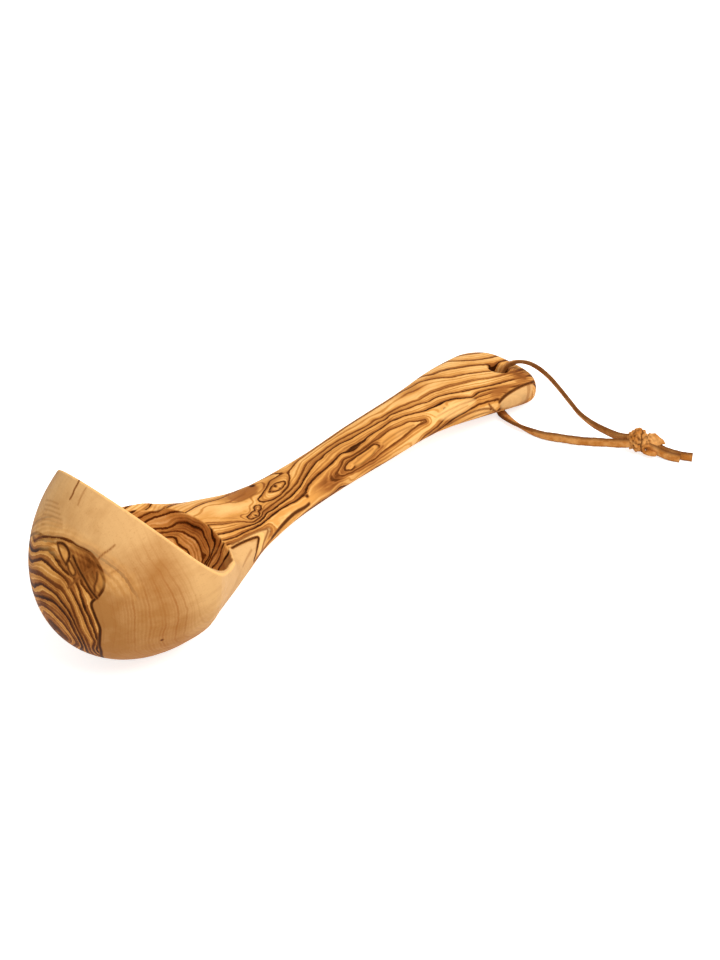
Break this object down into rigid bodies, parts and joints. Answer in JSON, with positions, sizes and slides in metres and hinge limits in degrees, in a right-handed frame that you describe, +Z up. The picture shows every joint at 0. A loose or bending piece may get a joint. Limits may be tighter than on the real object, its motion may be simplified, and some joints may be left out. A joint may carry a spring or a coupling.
{
  "type": "wooden ladle",
  "caption": "Ladle carved from one block of olive wood, with a round tipped-back bowl, a waisted handle and a flat leather hanging thong knotted through its end.",
  "frame": {"origin": "on the table under the middle of the wood's box, with the ladle lying on its heel and its handle's end", "axes": "+X along the handle away from the bowl, +Y to the ladle's left, +Z up"},
  "size_m": [0.3032, 0.1495, 0.087],
  "materials": {
    "olive_wood": "oiled satin",
    "leather": "dry suede and smooth grain"
  },
  "bodies": {
    "ladle": {"ladle_body": "olive_wood"},
    "thong": {"thong_loop": "leather", "thong_knot": "leather", "thong_long_tail": "leather", "thong_short_tail": "leather"}
  },
  "joints": [
    {"name": "thong_swing", "type": "hinge", "parent": "ladle", "child": "thong", "pos_m": [0.13305, -0.0015, 0.0105], "axis": [0, 0, 1], "range_deg": [-30, 35]}
  ]
}
